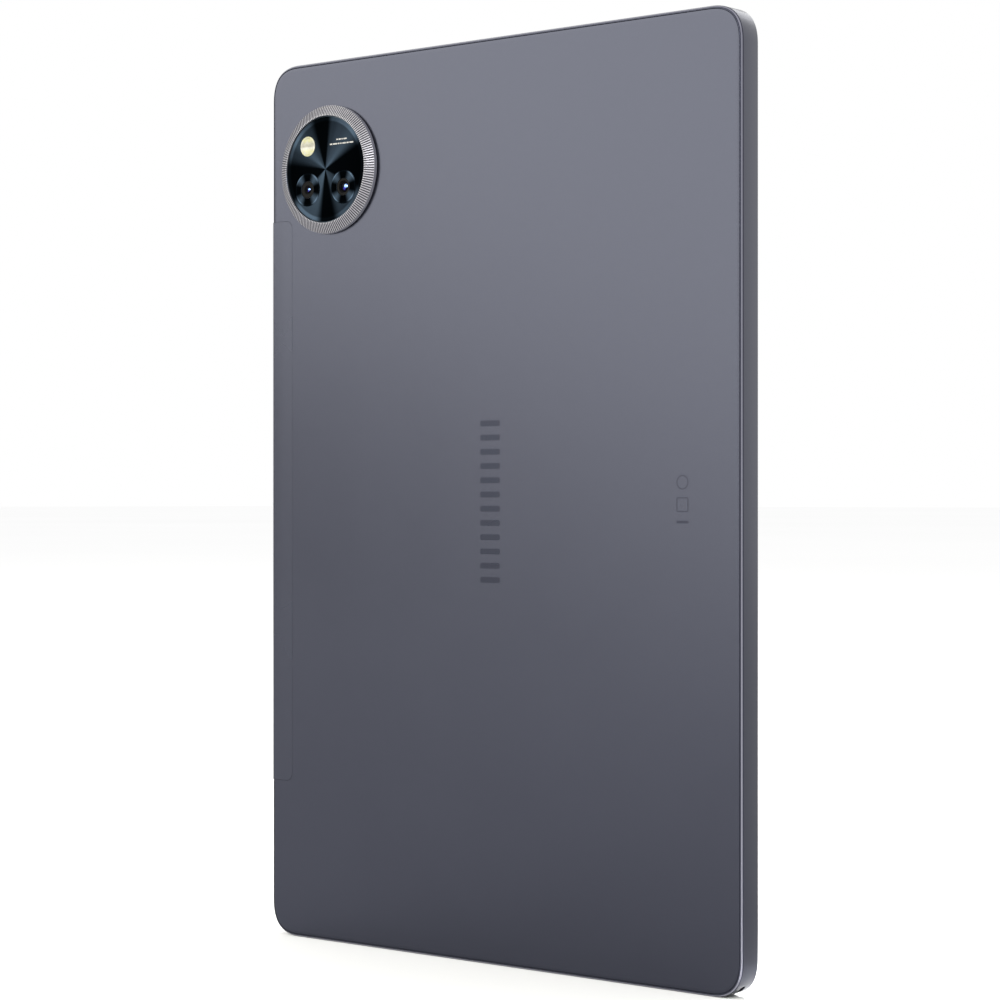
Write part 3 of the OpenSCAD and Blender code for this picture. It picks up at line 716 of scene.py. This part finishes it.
def soften(profile, slots, radius, steps=3):
    """Rounds every corner of a closed profile, and gives each arc the slot of the edge before it."""
    points, materials = [], []
    count = len(profile)
    for k, corner in enumerate(profile):
        here = Vector(corner)
        before = Vector(profile[k - 1]) - here
        after = Vector(profile[(k + 1) % count]) - here
        reach = min(radius, before.length * 0.45, after.length * 0.45)
        start = here + before.normalized() * reach
        end = here + after.normalized() * reach
        for i in range(steps + 1):
            t = i / steps
            place = start * (1 - t) ** 2 + here * 2 * t * (1 - t) + end * t * t
            points.append(tuple(place))
            materials.append(slots[k - 1] if i < steps else slots[k])
    return points, materials


def box_cutter(low, high):
    """Box between two corners given as (x, depth, z)."""
    xs, depths, zs = zip(low, high)
    half_x, half_z = (xs[1] - xs[0]) / 2, (zs[1] - zs[0]) / 2
    outline = [(side_x * half_x, side_z * half_z)
               for side_x, side_z in ((-1, 1), (1, 1), (1, -1), (-1, -1))]
    place = (Matrix.Translation((sum(xs) / 2, BACK_Y, sum(zs) / 2))
             @ Matrix.Rotation(-math.pi / 2, 4, "X"))
    return solid_from(stack(place, [(-depths[1], outline), (-depths[0], outline)]))


def round_cutter(x, z, radius, low, high):
    """Cylinder through the back between two depths."""
    return solid_from(lathe(x, z, [(0, low), (radius, low), (radius, high), (0, high)], 128,
                            closed=False))


def slot_cutter(place, length, width, deep=4.2, flare=0.12):
    """Peg through the side wall with a small countersink at the surface."""
    grow = flare * 1.3 * 2
    hole, mouth = stadium(length, width), stadium(length + grow, width + grow)
    return solid_from(stack(place, [(-deep, hole), (-0.1, hole), (0.03, mouth), (0.6, mouth)]))


def speaker_cutters():
    """Slots that start on three corners, and the straight row over the inner upper speaker."""
    cutters = []
    for side_x, side_z, first in ((-1, -1, 0), (1, -1, 0), (-1, 1, 2)):
        for i in range(first, SLOT_COUNT):
            place = along_outline(SLOT_START + i * SLOT_PITCH, side_x, side_z)
            cutters.append(slot_cutter(wall_place(*place), SLOT_LENGTH, SLOT_WIDTH))
    row_x, _ = middle("upper_left_speaker")
    for i in range(INNER_ROW_COUNT):
        x = row_x + (i - (INNER_ROW_COUNT - 1) / 2) * SLOT_PITCH
        cutters.append(slot_cutter(wall_place(x, BODY_H, 0, 1), SLOT_LENGTH, SLOT_WIDTH))
    return cutters


def make_side_frame():
    """Metal frame with its chamfers, the recess for the antenna cover and all its openings."""
    profile = [(0, CHAMFER + 0.1), (0, BODY_T - FRONT_CHAMFER), (FRONT_CHAMFER, BODY_T),
               (GLASS_IN - 0.05, BODY_T), (GLASS_IN - 0.05, SEAT_DEPTH), (FRONT_WALL, SEAT_DEPTH),
               (FRONT_WALL, STEP_DEPTH), (WALL, STEP_DEPTH), (WALL, COVER_T + 0.05),
               (RIM_IN, COVER_T + 0.05), (RIM_IN, 0), (CHAMFER, 0), (0.46, 0.14), (0.15, 0.45)]
    slots = [0, 1, 0, 2, 2, 0, 0, 0, 2, 2, 2, 2, 1, 2]
    profile, slots = soften(profile, slots, 0.04)
    piece = finish_mesh("side_frame_shell", loft(outline_path(), profile, slots),
                        [SIDE, CHAMFER_METAL, SEAM_METAL], "tablet", "side_frame")
    low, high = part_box("antenna_cover")
    z0, z1, edge = low.z / MM - 0.05, high.z / MM + 0.05, BODY_W / 2
    power_x, _ = middle("power_button")
    _, rocker_z = middle("volume_rocker")
    _, tray_z = middle("card_tray")
    socket_x, _ = middle("charging_socket")
    socket_depth, tray_depth = depth_of("charging_socket"), depth_of("card_tray")
    cutters = speaker_cutters() + [
        box_cutter((edge - 1.2, -1, z0), (edge + 2, BODY_T + 1, z1)),
        box_cutter((edge - FRONT_WALL - 0.1, -1.5, z0), (edge + 2.5, STEP_DEPTH, z1)),
        slot_cutter(wall_place(socket_x, 0, 0, -1, socket_depth), SOCKET_W + 0.3,
                    SOCKET_T + 0.3),
        slot_cutter(wall_place(power_x, BODY_H, 0, 1), POWER_L + 0.2, BUTTON_W + 0.2,
                    flare=0.06),
        slot_cutter(wall_place(edge, rocker_z, 1, 0), VOLUME_L + 0.3, BUTTON_W + 0.2,
                    flare=0.06),
        slot_cutter(wall_place(edge, tray_z, 1, 0, tray_depth), TRAY_FACE_L + 0.16,
                    TRAY_FACE_W + 0.16, deep=1.5, flare=0.03),
        box_cutter((edge - 4.2, tray_depth - TRAY_SLOT_HALF_T, tray_z - TRAY_SLOT_HALF_L),
                   (edge - 1.2, tray_depth + TRAY_SLOT_HALF_T, tray_z + TRAY_SLOT_HALF_L)),
    ]
    for x, side in MIC_HOLES:
        z = BODY_H if side > 0 else 0
        cutters.append(slot_cutter(wall_place(x, z, 0, side), MIC_HOLE_D + 0.001, MIC_HOLE_D,
                                   flare=0.05))
    cut(piece, cutters)


def antenna_block(gap, low_height, high_height):
    """Block with the antenna cover's outline and rounded inner corners, this much larger all round."""
    low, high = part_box("antenna_cover")
    place = (Matrix.Translation((BODY_W / 2, BACK_Y, (low.z + high.z) / 2 / MM))
             @ Matrix.Rotation(math.pi / 2, 4, "X"))
    shape = rounded_box(2 * (high.x - low.x) / MM + 2 * gap, (high.z - low.z) / MM + 2 * gap,
                        ANTENNA_R)
    return solid_from(stack(place, [(low_height, shape), (high_height, shape)]))


def make_rear_cover():
    """Rear cover with a gently bevelled edge, cut out for the antenna cover and the camera."""
    profile = [(COVER_IN, COVER_T), (COVER_IN, 0.08), (COVER_IN + 0.03, 0.05),
               (COVER_IN + 0.58, 0.008), (COVER_IN + 0.68, 0.0)]
    piece = finish_mesh("rear_cover_panel", loft(outline_path(), profile, closed=False,
                                                 caps=(0, len(profile) - 1)),
                        [BODY], "tablet", "rear_cover", sharp=3)
    hole = half_width("camera_gasket") - 0.2
    cut(piece, [antenna_block(ANTENNA_GAP, -2, 2), round_cutter(CAMERA_X, CAMERA_Z, hole, -2, 3)],
        sharp=3)


def make_antenna_cover():
    """Plastic strip that is part of the back, the side wall and the screen's edge."""
    low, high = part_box("antenna_cover")
    z0, z1, width = low.z / MM, high.z / MM, (high.x - low.x) / MM
    edge = BODY_W / 2
    section = [(0, CHAMFER + 0.02), (0, BODY_T - FRONT_CHAMFER), (FRONT_CHAMFER, BODY_T),
               (GLASS_IN - 0.05, BODY_T), (GLASS_IN - 0.05, SEAT_DEPTH), (1.1, SEAT_DEPTH),
               (1.1, COVER_T), (width, COVER_T), (width, 0), (CHAMFER, 0),
               (0.14, 0.2)]
    section, _ = soften(section, [0] * len(section), 0.06)
    bm = bmesh.new()
    ends = [[bm.verts.new(point(edge - inset, depth, z)) for inset, depth in section]
            for z in (z0, z1)]
    for k in range(len(section)):
        m = (k + 1) % len(section)
        bm.faces.new((ends[0][k], ends[0][m], ends[1][m], ends[1][k]))
    for ring in ends:
        bm.faces.new(ring)
    piece = finish_mesh("antenna_cover_shell", bm, [BODY_PLASTIC], "tablet", "antenna_cover")
    cut(piece, [antenna_block(0, -2, 9)], 20, "INTERSECT")


def make_cover_glass():
    """Screen glass whose edge is rounded down to the frame."""
    round_in, round_deep, steps = 0.5, 0.38, 6
    profile = [(GLASS_IN, BODY_T - GLASS_T), (GLASS_IN, BODY_T - round_deep)]
    for i in range(1, steps + 1):
        a = math.pi / 2 * i / steps
        profile.append((GLASS_IN + round_in * (1 - math.cos(a)),
                        BODY_T - round_deep + round_deep * math.sin(a)))
    profile.append((GLASS_IN + 0.8, BODY_T))
    finish_mesh("screen_cover_glass",
                loft(outline_path(), profile, closed=False, caps=(0, len(profile) - 1)),
                [SCREEN], "tablet", "cover_glass", sharp=20)


make_side_frame()
make_rear_cover()
make_antenna_cover()
make_cover_glass()


# ---- camera bump ---------------------------------------------------------------------------

def make_bezel(x, z):
    """Bezel with fine ridges down its cone, their grooves painted dark as shade, a bright lip inside
    them and a plain wall below.
    """
    slope = Vector((BEZEL_R - LIP_R, BEZEL_EDGE - BUMP_TOP))
    inward = Vector((-slope.y, slope.x)).normalized() * RIDGE_DEPTH

    def on_cone(t, cut_in):
        return (LIP_R + slope.x * t, BUMP_TOP + slope.y * t, cut_in)

    # (radius, depth, share of a groove's depth)
    profile = [(DISC_R + 0.03, SHELF, 0), (DISC_R + 0.03, -2.24, 0), (DISC_R + 0.07, -2.33, 0),
               (DISC_R + 0.16, BUMP_TOP + 0.02, 0.4), (LIP_R - 0.04, BUMP_TOP, 1),
               on_cone(0.02, 1), on_cone(0.2, 1), on_cone(0.5, 1), on_cone(0.93, 1),
               on_cone(0.985, 0),
               (BEZEL_R, BEZEL_EDGE + 0.05, 0), (BEZEL_R, BEZEL_FOOT - 0.06, 0),
               (BEZEL_R - 0.06, BEZEL_FOOT, 0), (NECK_R, BEZEL_FOOT, 0), (NECK_R, 0.6, 0),
               (DISC_R - 1, 0.6, 0), (DISC_R - 1, SHELF, 0)]
    slots = [3, 3, 4, 1, 1, 1, 1, 1, 1, 0, 2, 2, 3, 3, 3, 3, 3]
    bm = bmesh.new()
    rings, raised = [], []
    for ridge in range(RIDGES):
        # a groove's floor, its flank up to the ridge's top, and the top; the floor and flank take the
        # painted shade
        for share, cut_in, is_top in ((0.0, 1, False), (0.36, 1, False), (0.44, 0, True),
                                      (0.92, 0, False)):
            a = 2 * math.pi * (ridge + share) / RIDGES
            ring = []
            for radius, depth, weight in profile:
                radius += inward.x * weight * cut_in
                depth += inward.y * weight * cut_in
                ring.append(bm.verts.new(point(x + radius * math.cos(a), depth,
                                               z + radius * math.sin(a))))
            rings.append(ring)
            raised.append(is_top)
    count = len(profile)
    for i, ring in enumerate(rings):
        after = rings[(i + 1) % len(rings)]
        for k in range(count):
            m = (k + 1) % count
            face = bm.faces.new((ring[k], ring[m], after[m], after[k]))
            face.material_index = 0 if raised[i] and slots[k] == 1 else slots[k]
    finish_mesh("camera_bezel", bm,
                [BEZEL, BEZEL_GROOVE_PAINTED_SHADE, BEZEL_WALL, SEAM_DARK, LENS_BEVEL], "tablet",
                "camera_ring", sharp=25)


def round_solid(name, x, z, profile, materials, slots, body, node, steps=96, sharp=32):
    """Solid turned from a profile of (radius, depth) that starts and ends on the axis."""
    bm = lathe(x, z, profile, steps, slots, closed=False)
    return finish_mesh(name, bm, materials, body, node, sharp)


def make_disc(x, z, holes):
    """Camera disc with holes given as (x, z, radius)."""
    top, bottom = DISC_TOP, SHELF
    profile = [(0, top), (DISC_R - 0.16, top), (DISC_R - 0.05, top + 0.04),
               (DISC_R, top + 0.15), (DISC_R, bottom), (0, bottom)]
    piece = round_solid("camera_cover_disc", x, z, profile, [sunburst_painted_sheen_disc(x, z), LENS_BEVEL],
                        [0, 1, 1, 0, 0], "tablet", "camera_disc", steps=192)
    cut(piece, [round_cutter(hole_x, hole_z, radius, top - 1, bottom + 1)
                for hole_x, hole_z, radius in holes])


def make_lens(name, ring_node, glass_node, core, curve, glint_r):
    """Raised surround with its own sunburst, then a printed rim round a domed front element."""
    x, z = middle(glass_node)
    top = LENS_TOP
    ring = [(APERTURE, LENS_STEP), (APERTURE, top + 0.08), (APERTURE + 0.05, top),
            (LENS_R - 0.26, top), (LENS_R - 0.2, top - 0.02), (LENS_R - 0.06, top + 0.06),
            (LENS_R, top + 0.2), (LENS_R, LENS_BASE), (APERTURE - 0.3, LENS_BASE),
            (APERTURE - 0.3, LENS_STEP)]
    finish_mesh(name + "_surround", lathe(x, z, ring, 128, [0, 2, 1, 1, 1, 1, 0, 0, 0, 0]),
                [LENS_PRINT, sunburst_painted_sheen_lens(name + "_sunburst", x, z), LENS_BEVEL], "tablet",
                ring_node)
    crown, rear, steps = -1.98, -1.3, 8
    dome = []
    for i in range(steps + 1):
        radius = core * i / steps
        dome.append((radius, crown + curve - math.sqrt(curve ** 2 - radius ** 2)))
    rim = [(core + 0.12, dome[-1][1] - 0.02), (core + 0.3, crown), (core + 0.36, crown - 0.06),
           (APERTURE - 0.06, crown - 0.08), (APERTURE - 0.02, crown - 0.02),
           (APERTURE - 0.02, rear), (0, rear)]
    # Front element with its painted glint.
    painted_glint_material = lens_with_painted_glint(name + "_painted_glint", x, z, glint_r)
    round_solid(name + "_front_glass", x, z, dome + rim, [painted_glint_material, LENS_PRINT],
                [0] * steps + [1] * len(rim), "tablet", glass_node)


def make_barrel(name, node, body, nose):
    """Lens barrel whose nose has stepped baffles round a coated front element."""
    low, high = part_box(node)
    x, z = middle(node)
    outer = half_width(node)
    front, rear = BACK_Y - high.y / MM, BACK_Y - low.y / MM
    profile = [(0, front + 0.25), (0.3 * nose, front + 0.3), (0.42 * nose, front + 0.42)]
    radius, depth, step_out, step_up = 0.42, 0.42, 0.15, 0.14
    for _ in range(3):
        profile.append((radius * nose, front + depth - step_up))
        radius, depth = radius + step_out, depth - step_up
        profile.append((radius * nose, front + depth))
    profile += [(nose - 0.1, front), (nose, front + 0.1), (nose, front + 0.55),
                (outer - 0.1, front + 0.55), (outer, front + 0.65),
                (outer, rear - 0.1), (outer - 0.1, rear), (0, rear)]
    slots = [0, 0] + [1] * (len(profile) - 3)
    round_solid(name, x, z, profile, [PANEL, BLACK_PLASTIC], slots, body, node,
                steps=64)


def make_flash():
    """Flash window: a flat rim round six rings of a stepped lens."""
    rings, ring_w = 6, 0.38
    low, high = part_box("flash_lens")
    outer = half_width("flash_lens") - 0.01
    top, bottom = BACK_Y - high.y / MM, BACK_Y - low.y / MM
    profile = [(0, top + 0.03)]
    for i in range(rings):
        radius = (i + 1) * ring_w
        profile += [(radius - 0.06, top + 0.05), (radius, top + 0.13)]
    profile += [(2.36, top + 0.02), (outer - 0.1, top), (outer, top + 0.1), (outer, bottom),
                (0, bottom)]
    round_solid("flash_window", FLASH_X, FLASH_Z, profile, [FLASH], None, "tablet", "flash_lens",
                steps=72, sharp=18)


def back_place(x, z):
    """Matrix for something printed on the back: u runs toward -X, v up."""
    return facing((x, BACK_Y, z), (-1, 0, 0), (0, 1, 0))


def frame_outline(bm, place, radius):
    """Raised line round a square mark whose corners have this radius."""
    outer = rounded_box(MARK_SIZE, MARK_SIZE, radius)
    inside = MARK_SIZE - 2 * MARK_LINE
    inner = rounded_box(inside, inside, radius - MARK_LINE)
    rings = [[bm.verts.new(place @ Vector((u, v, height)) * MM) for u, v in shape]
             for shape, height in ((outer, 0), (outer, INK), (inner, INK), (inner, 0))]
    for k in range(4):
        low, high = rings[k], rings[(k + 1) % 4]
        for i in range(len(low)):
            j = (i + 1) % len(low)
            bm.faces.new((low[i], low[j], high[j], high[i]))


def make_prints():
    """Marks on the casing and the camera disc: bars, outlines and dashes with no lettering."""
    bm = bmesh.new()
    for i in range(EMBLEM_BARS):
        z = EMBLEM_Z + (i - (EMBLEM_BARS - 1) / 2) * EMBLEM_PITCH
        shape = rounded_box(EMBLEM_W, EMBLEM_BAR, 0.5)
        stack(back_place(0, z), [(0, shape), (INK, shape)], bm)
    finish_mesh("back_emblem_bars", bm, [EMBLEM], "tablet")

    bm = bmesh.new()
    for z, radius in ((MARKS_Z + 4.9, MARK_SIZE / 2), (MARKS_Z - 0.9, 0.5)):
        frame_outline(bm, back_place(MARKS_X, z), radius)
    bar = rounded_box(MARK_SIZE, 0.7, 0.2)
    stack(back_place(MARKS_X, MARKS_Z - 5.4), [(0, bar), (INK, bar)], bm)
    finish_mesh("back_marks", bm, [EMBLEM], "tablet")

    bm = bmesh.new()
    for row, lengths in enumerate((DASHES_UPPER, DASHES_LOWER)):
        u = -sum(lengths) / 2 - DASH_GAP * (len(lengths) - 1) / 2
        z = DASHES_Z - (row - 0.5) * DASH_ROW_PITCH
        for length in lengths:
            shape = rounded_box(length, DASH_H, 0.12, steps=3)
            place = back_place(DASHES_X - u - length / 2, z)
            stack(place, [(-DISC_TOP, shape), (-DISC_TOP + INK, shape)], bm)
            u += length + DASH_GAP
    finish_mesh("camera_disc_dashes", bm, [DISC_PRINT], "tablet")


make_bezel(CAMERA_X, CAMERA_Z)
make_disc(CAMERA_X, CAMERA_Z, [(MAIN_X, MAIN_Z, LENS_HOLE_R), (SECOND_X, SECOND_Z, LENS_HOLE_R),
                               (FLASH_X, FLASH_Z, FLASH_HOLE_R)])
make_lens("main_camera", "main_lens_ring", "main_lens_glass", core=1.5, curve=2.6,
          glint_r=0.7)
make_lens("second_camera", "second_lens_ring", "second_lens_glass", core=1.0, curve=1.5,
          glint_r=0.42)
make_barrel("main_barrel_optics", "main_camera_barrel", "focus_barrel", nose=1.88)
make_barrel("second_barrel_optics", "second_camera_barrel", "tablet", nose=1.78)
make_flash()
make_prints()


# ---- buttons and socket --------------------------------------------------------------------

def make_key(name, node, body, place, length, flange, deep):
    """Key with a softly rounded cap and a flange inside the wall."""
    def ring(grow):
        return stadium(length + 2 * grow, BUTTON_W + 2 * grow)

    inner = rounded_box(flange, BUTTON_W, 0.3, steps=14)
    sections = [(-deep, inner), (-deep + 0.6, inner), (-deep + 0.6, ring(0)), (0.3, ring(0)),
                (0.42, ring(-0.05)), (0.48, ring(-0.15)), (0.5, ring(-0.3))]
    matched = [(height, resample(outline, KEY_POINTS)) for height, outline in sections]
    finish_mesh(name, stack(place, matched), [BUTTON], body, node)


def resample(outline, count):
    """The same closed outline with evenly spaced points, starting on the +u axis."""
    points = [Vector(p) for p in outline]
    start = max(range(len(points)), key=lambda i: (round(points[i].x, 6), -abs(points[i].y)))
    points = points[start:] + points[:start]
    points.append(points[0])
    lengths = [(b - a).length for a, b in zip(points, points[1:])]
    total, result, k, passed = sum(lengths), [], 0, 0.0
    for i in range(count):
        want = total * i / count
        while passed + lengths[k] < want:
            passed += lengths[k]
            k += 1
        share = (want - passed) / lengths[k] if lengths[k] else 0
        result.append(tuple(points[k].lerp(points[k + 1], share)))
    return result


def make_contacts():
    """Gold contacts on both faces of the charging tongue."""
    low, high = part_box("charging_tongue")
    bm = bmesh.new()
    for side in (1, -1):
        face_y = (high.y if side > 0 else low.y) / MM
        for i in range(CONTACTS):
            x = (i - (CONTACTS - 1) / 2) * CONTACT_PITCH
            place = facing((x, face_y, low.z / MM + 1.6), (1, 0, 0), (0, side, 0))
            shape = rounded_box(CONTACT_W, CONTACT_L, 0.08, steps=3)
            stack(place, [(0, shape), (0.02, shape)], bm)
    finish_mesh("charging_contacts", bm, [GOLD], "tablet")


make_key("power_key", "power_button", "power_button_cap",
         wall_place(middle("power_button")[0], BODY_H, 0, 1), POWER_L, POWER_FLANGE, POWER_DEEP)
make_key("volume_key", "volume_rocker", "volume_rocker_cap",
         wall_place(BODY_W / 2, middle("volume_rocker")[1], 1, 0), VOLUME_L, VOLUME_FLANGE,
         VOLUME_DEEP)
make_contacts()


# ---- studio --------------------------------------------------------------------------------

def make_floor():
    """Large pale floor with a faint drift in its tone."""
    bm = bmesh.new()
    reach = 40.0
    corners = [bm.verts.new((x, y, 0)) for x, y in ((-reach, -reach), (reach, -reach),
                                                    (reach, reach), (-reach, reach))]
    bm.faces.new(corners)
    floor = mesh_object("floor", bm)
    s = Shader("pale_floor")
    s.set("base", s.mix(s.noise(0.0004), (0.84, 0.84, 0.84), (0.88, 0.88, 0.88)))
    s.set("roughness", 0.9)
    s.set("specular", 0.0)
    floor.data.materials.append(s.material)


def make_light(name, azimuth, elevation, distance, size, radiance, roll=0.0,
               aim=(0, 0, 0.13), tint=(1, 1, 1), spread=180):
    """Soft rectangular light at an azimuth from +X toward +Y, turned to face its aim."""
    data = bpy.data.lights.new(name, "AREA")
    data.shape = "RECTANGLE"
    data.size, data.size_y = size
    data.energy = radiance * math.pi * size[0] * size[1]
    data.color = tint
    data.spread = math.radians(spread)
    lamp = new_object(name, data)
    a, e = math.radians(azimuth), math.radians(elevation)
    away = Vector((math.cos(a) * math.cos(e), math.sin(a) * math.cos(e), math.sin(e)))
    lamp.location = Vector(aim) + away * distance
    turned = away.to_track_quat("Z", "Y") @ Quaternion((0, 0, 1), math.radians(roll))
    lamp.rotation_euler = turned.to_euler()
    lamp.visible_camera = False


def make_sky_light(strength, spread):
    """Broad light from above, so that the floor stays nearly as pale as the surroundings."""
    data = bpy.data.lights.new("overhead_light", "SUN")
    data.energy = strength
    data.angle = math.radians(spread)
    new_object("overhead_light", data)


def make_camera():
    """Level camera that stands on the back's side and sees the tablet turned by 40 degrees."""
    data = bpy.data.cameras.new("camera")
    data.lens = VIEW_LENS
    data.sensor_width = 36.0
    data.clip_start = 0.01
    camera = new_object("camera", data)
    camera.location = VIEW_PLACE
    camera.rotation_euler = Vector(VIEW_AWAY).to_track_quat("Z", "Y").to_euler()
    bpy.context.scene.camera = camera


def make_world():
    """Even white surroundings."""
    world = bpy.data.worlds.new("studio")
    world.use_nodes = True
    background = world.node_tree.nodes["Background"]
    background.inputs["Color"].default_value = (1, 1, 1, 1)
    background.inputs["Strength"].default_value = 1.0
    bpy.context.scene.world = world


make_floor()
make_world()
make_camera()
make_light("back_softbox", 52, 22.7, 2.6, (2.4, 1.9), 4.0, roll=-24, tint=(1, 0.985, 0.86))
make_light("side_softbox", 236, 22, 0.75, (0.6, 0.75), 1.35, tint=(1, 0.985, 0.9))
make_light("corner_softbox", 274, 36, 1.8, (0.9, 1.0), 2.2)
make_light("base_softbox", 300, 30, 0.16, (0.08, 0.06), 5.0, aim=(-0.07, -0.006, 0), spread=36)
make_light("spark", 101, 16, 2.5, (0.06, 0.06), 2600)
make_sky_light(0.4, 120)
bpy.context.scene.view_settings.view_transform = "Standard"
